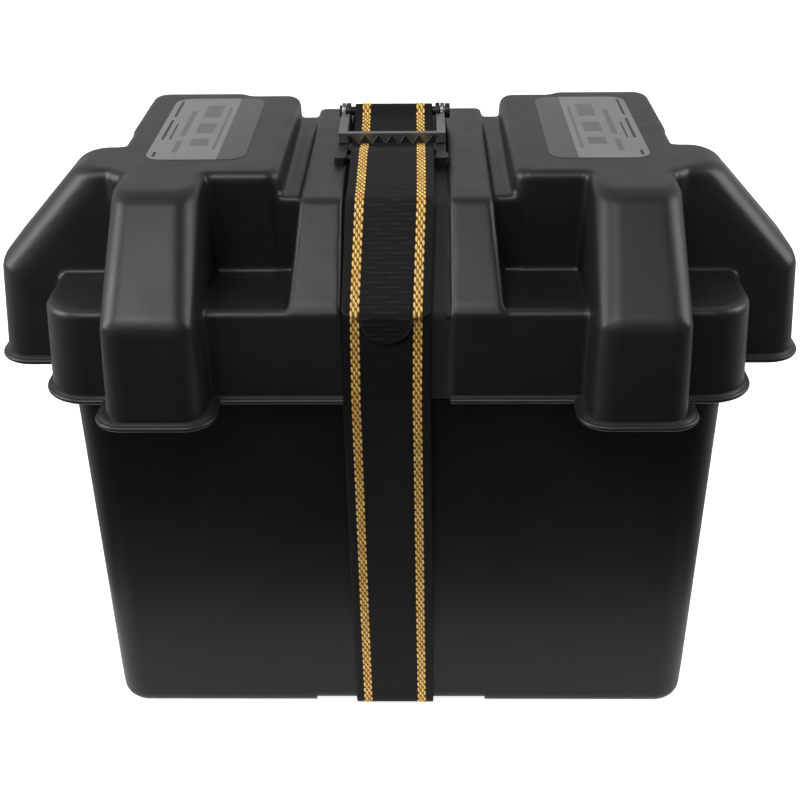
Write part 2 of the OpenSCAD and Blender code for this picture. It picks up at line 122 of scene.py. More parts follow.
def round_both(a, b, r):
    """Where both a and b are solid, with the edge between them rounded to radius r."""
    return np.minimum(-r, np.maximum(a, b)) + np.hypot(np.maximum(a + r, 0), np.maximum(b + r, 0))


def round_either(a, b, r):
    """Where a or b is solid, with a fillet of radius r in the corner between them."""
    return -round_both(-a, -b, r)


def wall(u, z, points, r):
    """A wall whose outside runs down through points (u, z), with its breaks rounded to r."""
    field = None
    for (u0, z0), (u1, z1) in zip(points, points[1:]):
        run, drop = u1 - u0, z0 - z1
        face = ((u - u0) * drop + (z - z0) * run) / math.hypot(run, drop)
        field = face if field is None else round_both(field, face, r)
    return field


def block(p, left, right, front, rear, corner, break_r=2.5):
    """A tapered block that is open upwards. Each side is a list of (distance, height)."""
    x, y, z = p
    across = round_both(wall(-x, z, left, break_r), wall(x, z, right, break_r), SHARP)
    along = round_both(wall(-y, z, front, break_r), wall(y, z, rear, break_r), SHARP)
    return round_both(across, along, corner)


def capped(p, sides, top, edge):
    """Blocks cut off level at height top, with their top edges rounded to radius edge."""
    return round_both(sides, p[2] - top, edge)


def mirrored(p):
    """The point with both halves of the lid folded onto the right one."""
    return np.abs(p[0]), p[1], p[2]


def straight(u):
    """A side that stands upright at distance u."""
    return [(u, PLATEAU_Z + 1), (u, RIM_Z)]


def skirt_field(p):
    side, face = [[(u, LEDGE_Z), (u + SKIRT_FLARE, RIM_Z)] for u in (HALF_X, HALF_Y)]
    return capped(p, block(p, side, side, face, face, SKIRT_CORNER), LEDGE_Z, LEDGE_R)


def plateau_field(p, soften=0.0):
    inner = [(-PLATEAU_GAP, PLATEAU_Z), (-PLATEAU_GAP + PLATEAU_LEAN, LEDGE_Z - 8)]
    return block(mirrored(p), inner, straight(PLATEAU_X), straight(-FRONT_Y), straight(REAR_Y),
                 PLATEAU_CORNER + soften)


def within_skirt(line):
    """A slope that ends at the ledge's edge, carried on down just inside the skirt."""
    return line + [(line[-1][0] + SKIRT_FLARE / 2, RIM_Z)]


def rear_block_field(p, soften=0.0):
    inner = straight(-(PLATEAU_X - BUTTRESS_W))
    slope = within_skirt([(REAR_Y + BUTTRESS_OUT, PLATEAU_Z), (HALF_Y, LEDGE_Z)])
    return block(mirrored(p), inner, straight(PLATEAU_X), straight(0), slope, PLATEAU_CORNER + soften)


def central_block_field(p, soften=0.0):
    side = [(BLOCK_HALF, BLOCK_Z), (BLOCK_HALF + BLOCK_FLARE, LEDGE_Z)]
    front = within_skirt([(-BLOCK_FRONT, BLOCK_Z), (HALF_Y, LEDGE_Z)])
    rear = within_skirt([(BLOCK_REAR, BLOCK_Z), (HALF_Y, LEDGE_Z)])
    return capped(p, block(p, side, side, front, rear, BLOCK_CORNER + soften), BLOCK_Z, BLOCK_EDGE + soften)


def valley_field(p):
    side = straight(PLATEAU_GAP + 2)
    sides = block(p, side, side, straight(-FRONT_Y - 1), straight(REAR_Y - 1), VALLEY_CORNER)
    return capped(p, sides, VALLEY_Z, VALLEY_EDGE)


def front_hood_field(p, soften=0.0):
    x_in, x_out = HOOD_X - HOOD_W / 2, HOOD_X + HOOD_W / 2
    inner, outer = [[(u, PLATEAU_Z), (u, BREAK_Z), (u + HOOD_FLARE, RIM_Z)] for u in (-x_in, x_out)]
    face = [(-FRONT_Y + HOOD_TOP_OUT, PLATEAU_Z), (HALF_Y + HOOD_OUT, BREAK_Z),
            (HALF_Y + HOOD_OUT + HOOD_LEAN, RIM_Z)]
    return block(mirrored(p), inner, outer, face, straight(0), HOOD_R + soften, HOOD_BREAK_R)


def end_hood_field(p, soften=0.0):
    near, far = END_HOOD_Y + END_HOOD_W / 2, END_HOOD_Y - END_HOOD_W / 2
    grow = END_HOOD_FLARE / 2
    face = [(PLATEAU_X + END_HOOD_TOP_OUT, PLATEAU_Z), (HALF_X + END_HOOD_OUT, BREAK_Z),
            (HALF_X + END_HOOD_OUT + HOOD_LEAN / 2, RIM_Z)]
    front, rear = [[(u, PLATEAU_Z), (u + grow, BREAK_Z), (u + END_HOOD_FLARE, RIM_Z)] for u in (near, -far)]
    corner = np.where(p[1] < -END_HOOD_Y, END_HOOD_R, END_HOOD_REAR_R) + soften
    return block(mirrored(p), straight(-90), face, front, rear, corner, HOOD_BREAK_R)


def groove_line():
    """The strap groove's floor in front and behind, as (distance, height) from the top down."""
    lines = []
    for block_end in (-BLOCK_FRONT, BLOCK_REAR):
        run = HALF_Y - block_end
        slope_len = math.hypot(run, BLOCK_H)
        back = GROOVE_D / slope_len
        foot = (HALF_Y - BLOCK_H * back, LEDGE_Z - run * back)
        skirt_u = HALF_Y - SKIRT_GROOVE
        climb = BLOCK_H / run
        lines.append([(foot[0] - (GROOVE_Z - foot[1]) / climb, GROOVE_Z),
                      (skirt_u, foot[1] + (foot[0] - skirt_u) * climb),
                      (skirt_u + SKIRT_FLARE, RIM_Z)])
    return lines


GROOVE_FRONT, GROOVE_REAR = groove_line()


def groove_field(p):
    """The space cut out over the strap's path."""
    x, y, z = p
    front = wall(-y, z, GROOVE_FRONT, GROOVE_BREAK_R)
    rear = wall(y, z, GROOVE_REAR, GROOVE_BREAK_R)
    floor = round_both(round_both(front, rear, SHARP), z - GROOVE_Z, GROOVE_BREAK_R)
    return round_both(np.abs(x) - GROOVE_W / 2, -floor, GROOVE_EDGE)


def lid_outside(p, soften=0.0):
    """The lid as if it were solid. soften is added to the radii of its raised blocks."""
    high = plateau_field(p, soften)
    for part in (rear_block_field, end_hood_field, front_hood_field):
        high = round_either(high, part(p, soften), HOOD_FILLET)
    field = round_either(skirt_field(p), valley_field(p), VALLEY_FILLET)
    field = round_either(field, capped(p, high, PLATEAU_Z, PLATEAU_R + soften), PLATEAU_FILLET)
    field = round_either(field, central_block_field(p, soften), BLOCK_FILLET)
    return round_both(field, -groove_field(p), GROOVE_LIP)


def lid_field(p):
    """The lid's wall: outside its hollow, inside its skin, and above its rim."""
    outside = lid_outside(p)
    seat = np.maximum(skirt_field(p) + LID_WALL, outside + THIN_WALL)
    hollow = round_either(lid_outside(p, LID_WALL) + LID_WALL, seat, 0.5)
    return np.maximum(np.maximum(outside, -hollow), RIM_Z + 0.6 - p[2])


def gradient(field, p, step=0.05):
    """How fast the field grows along each axis, at points p (3 arrays)."""
    parts = []
    for axis in range(3):
        ahead, behind = list(p), list(p)
        ahead[axis] = p[axis] + step
        behind[axis] = p[axis] - step
        parts.append(field(tuple(ahead)) - field(tuple(behind)))
    return np.stack(parts, axis=1) / (2 * step)


def surface_net(field, low, high, cell, pulls=3):
    """Quads over the field's zero surface: a vertex in each cell it crosses, pulled onto it."""
    counts = [int(math.ceil((b - a) / cell)) + 1 for a, b in zip(low, high)]
    axes = [a + cell * np.arange(n, dtype=np.float32) for a, n in zip(low, counts)]
    grid = tuple(a.reshape([-1 if i == j else 1 for j in range(3)]) for i, a in enumerate(axes))
    values = np.broadcast_to(field(grid), counts).astype(np.float32)
    inside = values < 0
    filled = np.sum([inside[i:counts[0] - 1 + i, j:counts[1] - 1 + j, k:counts[2] - 1 + k]
                     for i in (0, 1) for j in (0, 1) for k in (0, 1)], axis=0)
    active = (filled > 0) & (filled < 8)
    index = np.full(active.shape, -1, np.int64)
    index[active] = np.arange(active.sum())
    cells = np.argwhere(active)
    total, weight = np.zeros((len(cells), 3)), np.zeros(len(cells))
    unit = np.eye(3, dtype=int)
    for axis in range(3):
        first, second = [unit[k] for k in range(3) if k != axis]
        for m, n in ((0, 0), (0, 1), (1, 0), (1, 1)):
            start = cells + m * first + n * second
            a, b = values[tuple(start.T)], values[tuple((start + unit[axis]).T)]
            crossed = (a < 0) != (b < 0)
            t = np.where(crossed, a / np.where(crossed, a - b, 1), 0)
            total += (start + t[:, None] * unit[axis]) * crossed[:, None]
            weight += crossed
    at = np.array(low) + cell * total / weight[:, None]
    home = np.array(low) + cell * (cells + 0.5)
    for _ in range(pulls):
        p = tuple(at.T)
        g = gradient(field, p)
        size = np.maximum((g * g).sum(1), 0.2)
        at = at - g * (field(p) / size)[:, None]
        at = np.clip(at, home - 0.75 * cell, home + 0.75 * cell)
    quads = []
    for axis in range(3):
        b, c = unit[(axis + 1) % 3], unit[(axis + 2) % 3]
        trim = [slice(1, -1)] * 3
        trim[axis] = slice(None)
        edges = np.argwhere(np.diff(inside, axis=axis)[tuple(trim)]) + b + c
        ring = np.stack([index[tuple((edges + db * b + dc * c).T)]
                         for db, dc in ((-1, -1), (0, -1), (0, 0), (-1, 0))], axis=1)
        outward = inside[tuple(edges.T)]
        ring[~outward] = ring[~outward][:, ::-1]
        quads.append(ring)
    return at, np.concatenate(quads)


# ---- meshes ----

def mesh_object(name, points, faces, material, smooth=True):
    """A mesh from points in millimetres. Faces index the points."""
    mesh = bpy.data.meshes.new(name)
    mesh.from_pydata([tuple(q) for q in np.asarray(points, float) * MM], [], [tuple(f) for f in faces])
    mesh.validate()
    mesh.polygons.foreach_set("use_smooth", [smooth] * len(mesh.polygons))
    piece = bpy.data.objects.new(name, mesh)
    bpy.context.scene.collection.objects.link(piece)
    if material:
        mesh.materials.append(material)
    return piece


# ---- node helpers ----

class Shader:
    """A material's node tree, with short ways to add nodes. Sockets are passed as values."""

    def __init__(self, name):
        self.material = bpy.data.materials.new(name)
        self.material.use_nodes = True
        self.tree = self.material.node_tree
        self.surface = self.tree.nodes["Principled BSDF"]

    def plug(self, value, socket):
        if isinstance(value, bpy.types.NodeSocket):
            self.tree.links.new(value, socket)
        else:
            socket.default_value = value

    def math(self, operation, *values):
        node = self.tree.nodes.new("ShaderNodeMath")
        node.operation = operation
        for value, socket in zip(values, node.inputs):
            self.plug(value, socket)
        return node.outputs[0]

    def ramp(self, value, low, high, to_low=0.0, to_high=1.0):
        """value's stretch from low to high as a smooth step from to_low to to_high."""
        node = self.tree.nodes.new("ShaderNodeMapRange")
        node.interpolation_type = "SMOOTHSTEP"
        for socket, given in zip(node.inputs, (value, low, high, to_low, to_high)):
            self.plug(given, socket)
        return node.outputs[0]

    def noise(self, where, scale, detail=2.0, roughness=0.5):
        node = self.tree.nodes.new("ShaderNodeTexNoise")
        given = {"Vector": where, "Scale": scale, "Detail": detail, "Roughness": roughness}
        for name, value in given.items():
            self.plug(value, node.inputs[name])
        return node.outputs[0]

    def mix(self, share, a, b):
        node = self.tree.nodes.new("ShaderNodeMix")
        node.data_type = "RGBA"
        self.plug(share, node.inputs[0])
        for value, socket in ((a, node.inputs[6]), (b, node.inputs[7])):
            self.plug(value if isinstance(value, bpy.types.NodeSocket) else (*value, 1), socket)
        return node.outputs[2]

    def object_place(self):
        return self.tree.nodes.new("ShaderNodeTexCoord").outputs["Object"]

    def parts(self, vector):
        node = self.tree.nodes.new("ShaderNodeSeparateXYZ")
        self.plug(vector, node.inputs[0])
        return node.outputs

    def attribute(self, name):
        """The three parts of a vector attribute."""
        node = self.tree.nodes.new("ShaderNodeAttribute")
        node.attribute_name = name
        return self.parts(node.outputs["Vector"])

    def pointiness(self):
        return self.tree.nodes.new("ShaderNodeNewGeometry").outputs["Pointiness"]

    def bump(self, height, distance, strength=1.0):
        node = self.tree.nodes.new("ShaderNodeBump")
        node.inputs["Strength"].default_value = strength
        node.inputs["Distance"].default_value = distance
        self.plug(height, node.inputs["Height"])
        return node.outputs[0]

    def finish(self, color, roughness, normal=None, specular=0.5, **extra):
        s = self.surface.inputs
        self.plug(color if isinstance(color, bpy.types.NodeSocket) else (*color, 1), s["Base Color"])
        self.plug(roughness, s["Roughness"])
        s["Specular IOR Level"].default_value = specular
        if normal is not None:
            self.plug(normal, s["Normal"])
        for name, value in extra.items():
            s[name.replace("_", " ")].default_value = value
        return self.material


def grey(level):
    return level, level, level


def moulded_plastic(name, dark, light, rough, specular=0.5, grain=0.00003, matt_shaded_half=0.0, **extra):
    """Satin moulded plastic: a fine grain, slow changes of gloss, and edges lightened as rubbed wear and as
    painted highlight. Within matt_shaded_half of the middle, where a strap runs, it is rougher and darkened
    as painted shade."""
    m = Shader(name)
    here = m.object_place()
    grain_noise = m.noise(here, 1400, 3, 0.6)
    flow = m.noise(here, 9, 3, 0.55)
    scuff = m.noise(here, 70, 4, 0.6)
    edge = m.ramp(m.pointiness(), 0.505, 0.56)
    # Edges (by pointiness) lightened where scuffed: partly rubbed wear, partly painted highlight.
    rubbed_and_highlit = m.math("MULTIPLY", edge, m.ramp(scuff, 0.35, 0.7, 0.35, 1.0))
    color = m.mix(rubbed_and_highlit, m.mix(m.ramp(flow, 0.3, 0.7), dark, light), [c * 1.8 for c in light])
    gloss = m.math("ADD", m.ramp(flow, 0.25, 0.75, rough - 0.03, rough + 0.04),
                   m.ramp(scuff, 0.3, 0.75, -0.02, 0.03))
    if matt_shaded_half:
        off = m.math("ABSOLUTE", m.parts(here)[0])
        matt_and_shade = m.ramp(off, (matt_shaded_half - 0.6) * MM, (matt_shaded_half + 0.6) * MM, 1.0, 0.0)
        gloss = m.math("ADD", gloss, m.math("MULTIPLY", matt_and_shade, 0.30))
        # Painted shade: besides the rougher finish, the colour is darkened over the strap groove.
        color = m.mix(matt_and_shade, color, [c * 0.6 for c in dark])
    normal = m.bump(grain_noise, grain, 0.8)
    return m.finish(color, gloss, normal, specular, **extra)


LID_PLASTIC = moulded_plastic("lid_plastic", (0.0068, 0.0068, 0.0070), (0.0082, 0.0082, 0.0084), 0.42,
                              matt_shaded_half=GROOVE_W / 2)
TUB_PLASTIC = moulded_plastic("tub_plastic", (0.0030, 0.0030, 0.0031), (0.0040, 0.0040, 0.0041), 0.40, 0.27)
CLAMP_PLASTIC = moulded_plastic("clamp_plastic", (0.009, 0.009, 0.0092), (0.013, 0.013, 0.0132), 0.36, 1.0,
                                IOR=2.0, Coat_Weight=0.1, Coat_Roughness=0.3)
# The frame's plastic is a darker copy of the clamp's: painted shade for the frame lying in shadow under the
# clamp's arms.
SHADED_FRAME_PLASTIC = moulded_plastic("frame_plastic_shaded", (0.0050, 0.0050, 0.0052), (0.0070, 0.0070, 0.0072), 0.45,
                                0.4)


# ---- lid ----

def outline(corners, grow):
    """Points of an outline whose sides run along X and Y, moved out by grow. A corner is (x, y, radius),
    and it bends out where the radius is above 0 and in where it is below."""
    points = []
    count = len(corners)
    for i, (x, y, r) in enumerate(corners):
        here = np.array([x, y])
        before = np.array(corners[i - 1][:2]) if i else here - (np.array(corners[1][:2]) - here)
        after = np.array(corners[i + 1][:2]) if i < count - 1 else here + (here - before)
        come = (here - before) / np.linalg.norm(here - before)
        go = (after - here) / np.linalg.norm(after - here)
        out = np.array([come[1], -come[0]]), np.array([go[1], -go[0]])
        if r == 0:
            points.append(here + out[0] * grow)
            continue
        size = max(abs(r) + (grow if r > 0 else -grow), 0.3)
        side = 1 if r > 0 else -1
        corner = here + (out[0] + out[1]) * grow
        centre = corner - (out[0] + out[1]) * side * size
        steps = 10 if abs(r) > 5 else 5
        for k in range(steps + 1):
            a = math.pi / 2 * k / steps
            points.append(centre + side * size * (out[0] * math.cos(a) + out[1] * math.sin(a)))
    return points


def rim_corners():
    """The right half of the lid's rim, from the strap's notch in front round to the one behind."""
    side_x, side_y = HALF_X + SKIRT_FLARE, HALF_Y + SKIRT_FLARE
    hood_in, hood_out = HOOD_X - HOOD_W / 2 - HOOD_FLARE, HOOD_X + HOOD_W / 2 + HOOD_FLARE
    hood_y = HALF_Y + HOOD_OUT + HOOD_LEAN
    end_x = HALF_X + END_HOOD_OUT + HOOD_LEAN / 2
    end_near = -END_HOOD_Y - END_HOOD_W / 2 - END_HOOD_FLARE
    end_far = -END_HOOD_Y + END_HOOD_W / 2 + END_HOOD_FLARE
    return [(GROOVE_W / 2, -side_y, 0), (hood_in, -side_y, INSIDE_CORNER), (hood_in, -hood_y, HOOD_R),
            (hood_out, -hood_y, HOOD_R), (hood_out, -side_y, INSIDE_CORNER),
            (side_x, -side_y, SKIRT_CORNER), (side_x, end_near, INSIDE_CORNER),
            (end_x, end_near, END_HOOD_R), (end_x, end_far, END_HOOD_REAR_R),
            (side_x, end_far, INSIDE_CORNER), (side_x, side_y, SKIRT_CORNER), (GROOVE_W / 2, side_y, 0)]


def lip_profile():
    """The rolled lip's section, as (distance out, height) round a closed loop."""
    r = LIP_H / 2
    bead = [(LIP_OUT - r + r * math.cos(a), RIM_Z + r + r * math.sin(a))
            for a in np.radians(np.arange(-90, 91, 22.5))]
    return [(-LID_WALL + 0.1, RIM_Z)] + bead + [(0.9, RIM_Z + LIP_H + 0.25), (0.1, RIM_Z + LIP_H + 1.0),
                                               (-LID_WALL + 0.1, RIM_Z + LIP_H + 1.0)]


def lip_mesh(side, start):
    """The lip along one half of the rim: side is 1 on the right and -1 on the left."""
    profile = lip_profile()
    rings = [[(side * x, y, z) for x, y in outline(rim_corners(), d)] for d, z in profile]
    n, m = len(rings[0]), len(profile)
    points = [q for ring in rings for q in ring]
    faces = []
    for i in range(m):
        j = (i + 1) % m
        for k in range(n - 1):
            quad = [i * n + k, i * n + k + 1, j * n + k + 1, j * n + k]
            faces.append(quad if side > 0 else quad[::-1])
    first = [i * n for i in range(m)]
    last = [i * n + n - 1 for i in range(m)]
    faces.append(first if side > 0 else first[::-1])
    faces.append(last[::-1] if side > 0 else last)
    return points, [[start + v for v in f] for f in faces]


def make_lid():
    cell = 1.5
    low = [lid_low.x - 4, lid_low.y - 4, RIM_Z - 4]
    high = [lid_high.x + 4, lid_high.y + 4, lid_high.z + 4]
    points, quads = surface_net(lid_field, low, high, cell)
    faces = list(quads)
    points = [tuple(q) for q in points]
    for side in (1, -1):
        lip_points, lip_faces = lip_mesh(side, len(points))
        points += lip_points
        faces += lip_faces
    piece = mesh_object("lid", points, faces, LID_PLASTIC)
    piece.data.set_sharp_from_angle(angle=math.radians(50))
    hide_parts("lid_shell")
    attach(piece, "lid")


# ---- tub ----

def round_rect(x, y, r, steps=12):
    """A rectangle of half sizes x and y with corners of radius r, anticlockwise."""
    centres = [(x - r, y - r), (r - x, y - r), (r - x, r - y), (x - r, r - y)]
    return [(cx + r * math.cos(a), cy + r * math.sin(a))
            for i, (cx, cy) in enumerate(centres)
            for a in (math.pi / 2 * (i + k / steps) for k in range(steps + 1))]


def ring_mesh(levels):
    """Points and faces of a closed body from rings of (half x, half y, corner radius, height)."""
    rings = [[(px, py, z) for px, py in round_rect(x, y, r)] for x, y, r, z in levels]
    n = len(rings[0])
    points = [q for ring in rings for q in ring]
    faces = [[i * n + k, i * n + (k + 1) % n, (i + 1) * n + (k + 1) % n, (i + 1) * n + k]
             for i in range(len(rings) - 1) for k in range(n)]
    faces.append(list(range(n))[::-1])
    faces.append([(len(rings) - 1) * n + k for k in range(n)])
    return points, faces


def tub_levels():
    """Rings from the middle of the base up the outside, over the rim and down to the floor."""
    levels = []
    quarter = [math.pi / 2 * k / 6 for k in range(7)]
    base_r = TUB_CORNER

    def ring(inset, z, radius):
        levels.append((TUB_LEN / 2 - inset, TUB_WID / 2 - inset, max(radius, 1.5), z))

    for a in quarter:
        ring(BASE_EDGE * (1 - math.sin(a)), BASE_EDGE * (1 - math.cos(a)),
             base_r - BASE_EDGE * (1 - math.sin(a)))
    rim_r = 0.9
    for z in np.linspace(BASE_EDGE + 12, TUB_H - rim_r, 9):
        ring(-z * LEAN, z, base_r + z * LEAN)
    grow = TUB_H * LEAN
    for a in quarter[1:]:
        ring(rim_r * (1 - math.cos(a)) - grow, TUB_H - rim_r + rim_r * math.sin(a), base_r + grow)
    for a in quarter[::-1]:
        ring(TUB_WALL - rim_r * (1 - math.cos(a)) - grow, TUB_H - rim_r + rim_r * math.sin(a),
             base_r + grow - TUB_WALL)
    foot_r = 5.5
    for z in np.linspace(TUB_H - rim_r - 8, FLOOR_T + foot_r, 9):
        ring(TUB_WALL - z * LEAN, z, base_r + z * LEAN - TUB_WALL)
    for a in quarter[1:]:
        inset = TUB_WALL + foot_r * (1 - math.cos(a))
        ring(inset, FLOOR_T + foot_r * (1 - math.sin(a)), base_r - inset)
    return levels


def apply_modifiers(piece):
    """Makes a piece's modifiers part of its mesh."""
    shown = piece.evaluated_get(bpy.context.evaluated_depsgraph_get())
    mesh = bpy.data.meshes.new_from_object(shown)
    piece.modifiers.clear()
    piece.data = mesh


def box_points(low, high):
    """Corners and faces of a plain block, for cutting and for ribs that a bevel then rounds."""
    points = [(x, y, z) for x in (low[0], high[0]) for y in (low[1], high[1]) for z in (low[2], high[2])]
    faces = [(0, 1, 3, 2), (4, 6, 7, 5), (0, 4, 5, 1), (2, 3, 7, 6), (0, 2, 6, 4), (1, 5, 7, 3)]
    return points, faces


def merged(shapes):
    """Several (points, faces) as one."""
    points, faces = [], []
    for p, f in shapes:
        faces += [[len(points) + v for v in face] for face in f]
        points += list(p)
    return points, faces


def bevelled(piece, width):
    bevel = piece.modifiers.new("bevel", "BEVEL")
    bevel.width = width * MM
    bevel.segments = 3
    bevel.limit_method = "ANGLE"
    bevel.angle_limit = math.radians(30)
    bevel.use_clamp_overlap = True


def mend_faces(piece, weld=0.0):
    """Joins points closer than weld millimetres, and turns every face outwards."""
    mesh = bmesh.new()
    mesh.from_mesh(piece.data)
    if weld:
        bmesh.ops.remove_doubles(mesh, verts=mesh.verts, dist=weld * MM)
    bmesh.ops.recalc_face_normals(mesh, faces=mesh.faces)
    mesh.to_mesh(piece.data)
    mesh.free()


def channel_shape():
    """The space that the strap's channel takes out of the base, and of its front and rear edges."""
    far, turn_z = 150, WEB_T + TURN_R
    edge = [(BASE_IN + (turn_z - CHANNEL_D) * math.cos(a), turn_z - (turn_z - CHANNEL_D) * math.sin(a))
            for a in np.radians(np.arange(0, 91, 10))]
    below = [(-far, turn_z), (-far, -5), (far, -5)]
    profile = [(far, turn_z)] + edge + [(-y, z) for y, z in edge[::-1]] + below
    n = len(profile)
    points = [(x, y, z) for x in (-CHANNEL_W / 2, CHANNEL_W / 2) for y, z in profile]
    faces = [[k, (k + 1) % n, n + (k + 1) % n, n + k] for k in range(n)]
    return points, faces + [list(range(n))[::-1], list(range(n, 2 * n))]


def make_tub():
    piece = mesh_object("tub", *ring_mesh(tub_levels()), TUB_PLASTIC)
    cutter = mesh_object("channel_cutter", *channel_shape(), None)
    cut = piece.modifiers.new("channel", "BOOLEAN")
    cut.operation, cut.solver, cut.object = "DIFFERENCE", "EXACT", cutter
    apply_modifiers(piece)
    bpy.data.objects.remove(cutter)
    piece.data.set_sharp_from_angle(angle=math.radians(35))
    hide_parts("box_tub")
    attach(piece, "tub")
    gap = (TUB_LEN - 2 * TUB_CORNER) / RIB_COUNT
    half = TUB_WID / 2 - TUB_WALL - BASE_EDGE
    shapes = []
    for i in range(RIB_COUNT):
        x = (i - (RIB_COUNT - 1) / 2) * gap
        shapes.append(box_points((x - RIB_W / 2, -half, FLOOR_T - 0.5),
                                 (x + RIB_W / 2, half, FLOOR_T + RIB_H)))
    ribs = mesh_object("floor_ribs", *merged(shapes), TUB_PLASTIC)
    bevelled(ribs, 0.8)
    apply_modifiers(ribs)
    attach(ribs, "tub")


# ---- strap ----

def rounded_line(points):
    """A line through points (y, z, radius) with its corners rounded, and the length along it."""
    line = [np.array(points[0][:2], float)]
    for before, (y, z, r), after in zip(points, points[1:], points[2:]):
        here = np.array([y, z], float)
        come = here - np.array(before[:2])
        go = np.array(after[:2]) - here
        room = 0.49 * min(np.linalg.norm(come), np.linalg.norm(go))
        come, go = come / np.linalg.norm(come), go / np.linalg.norm(go)
        turn = math.acos(max(-1.0, min(1.0, float(come @ go))))
        if turn < 1e-3 or r == 0:
            line.append(here)
            continue
        cut = min(r * math.tan(turn / 2), room)
        radius = cut / math.tan(turn / 2)
        side = np.sign(come[0] * go[1] - come[1] * go[0])
        inward = side * np.array([-come[1], come[0]])
        centre = here - come * cut + inward * radius
        count = max(2, int(math.degrees(turn) / 6))
        for k in range(count + 1):
            a = turn * k / count
            line.append(centre - radius * (inward * math.cos(a) - come * math.sin(a)))
    line.append(np.array(points[-1][:2], float))
    line = np.array(line)
    return line, np.concatenate([[0], np.cumsum(np.linalg.norm(np.diff(line, axis=0), axis=1))])


def wrap_corner(before, after, centre, r):
    """Where the lines from before and after meet if both just touch a round bar from above."""
    lines = []
    for end, turn in ((before, 1), (after, -1)):
        to = np.array(centre, float) - np.array(end, float)
        a = turn * math.asin(r / np.linalg.norm(to))
        lines.append((to[0] * math.cos(a) - to[1] * math.sin(a), to[0] * math.sin(a) + to[1] * math.cos(a)))
    (ax, ay), (bx, by) = lines
    gap = np.array(after, float) - np.array(before, float)
    share = (gap[0] * by - gap[1] * bx) / (ax * by - ay * bx)
    return before[0] + ax * share, before[1] + ay * share


# The buckle's levels, from the CAD source
ANVIL_T, BAR_T, LAYER, THREAD_T = 1.2, 1.6, 0.05, 0.35
PIN_Y, PIN_UP, PIN_R = 35.0, 8.0, 2.2
BAR_Y, BAR_HALF, BITE_Y, LOOP_END = -18.0, 2.5, -2.6, -50.0
TEETH, TOOTH_PITCH, TOOTH_H, TOOTH_BAR_T, BITE_GAP = 6, 6.4, 4.2, 2.8, 0.3
TOOTH_EDGE_W, TOOTH_EDGE_RISE = 0.4, 0.2
PIN_Z = BLOCK_Z + PIN_UP
BITE_Z = BLOCK_Z + ANVIL_T + LAYER
LOOP_TOP, LOOP_LOW = BLOCK_Z + BAR_T + LAYER, BLOCK_Z - LAYER
BASE_IN, TURN_R = TUB_WID / 2 - BASE_EDGE, BASE_EDGE + 0.4
TAIL_STEP = WEB_T + THREAD_T + 2 * LAYER
TAIL_TIP_Z = tail_low.z
STRIPE_AT, STRIPE_HALF, STRIPE_RISE = 13.25, 2.0, 0.05
RIB_PITCH, RIB_RISE, TAIL_RIB_RISE = 2.2, 0.015, 0.26
TAIL_RIBBED = 99.0
TIP_R, SHOULDER = 11.2, 3.5
STITCH_ROWS, STITCH_PITCH, STITCH_LONG, STITCH_HALF, STITCH_RISE = 4, 3.7, 1.4, 0.60, 0.30
STITCH_SLANT = math.radians(4)


def out_from(line, amount):
    """A groove line [(distance, height), ...] moved out from the box by amount."""
    moved = []
    for i, here in enumerate(line):
        before, after = line[max(i - 1, 0)], line[min(i + 1, len(line) - 1)]
        normals = []
        for a, b in ((before, here), (here, after)):
            d = np.array(b, float) - np.array(a, float)
            if np.linalg.norm(d) > 0:
                d /= np.linalg.norm(d)
                normals.append(np.array([-d[1], d[0]]))
        m = normals[0] + normals[-1]
        moved.append(tuple(np.array(here, float) + m * 2 * amount / (m @ m)))
    return moved


def strap_route():
    """The webbing's face towards the box, from the tail's tip over the bite, the pin and the rear,
    under the base, up the front, over the slope and round the front bar, as (y, z, corner radius)."""
    front = out_from(GROOVE_FRONT, LAYER)
    rear = out_from(GROOVE_REAR, LAYER)
    tail_lines = out_from(GROOVE_FRONT, LAYER + TAIL_STEP)
    skirt_y, slope_z = tail_lines[1]
    tail = [(-skirt_y - 0.45, TAIL_TIP_Z, 0), (-skirt_y, slope_z, 5),
            (-tail_lines[0][0], tail_lines[0][1], 9),
            (BAR_Y - BAR_HALF - 1, LOOP_TOP + TAIL_STEP, 4), (BAR_Y + BAR_HALF, LOOP_TOP + TAIL_STEP, 3),
            (BAR_Y + BAR_HALF + 7, BITE_Z, 3)]
    before_pin = (PIN_Y - 4.8, PIN_Z - 2.2)
    after_pin = (rear[0][0], rear[0][1] + 0.1)
    over = [(6, BITE_Z, 8), (*before_pin, 1.5),
            (*wrap_corner(before_pin, after_pin, (PIN_Y, PIN_Z), PIN_R + 0.1), PIN_R + 0.1)]
    down = [(*after_pin, 9), (rear[1][0], rear[1][1], 5),
            (rear[2][0] + LAYER, RIM_Z, 20), (BASE_IN + TURN_R, WEB_T + TURN_R + 3, 12),
            (BASE_IN + TURN_R, WEB_T, TURN_R)]
    up = [(-BASE_IN - TURN_R, WEB_T, TURN_R), (-BASE_IN - TURN_R, WEB_T + TURN_R + 3, 12),
          (-front[2][0] - LAYER, RIM_Z, 20), (-front[1][0], front[1][1], 5), (-front[0][0], front[0][1], 9)]
    nose = BAR_Y + BAR_HALF + 0.8
    loop = [(BAR_Y - BAR_HALF - 1, LOOP_TOP, 4), (nose, LOOP_TOP, 0.8), (nose, LOOP_LOW, 0.8),
            (BAR_Y - BAR_HALF, LOOP_LOW, 3), (LOOP_END, GROOVE_Z + WEB_T + 0.5, 0)]
    return tail + over + down + up + loop


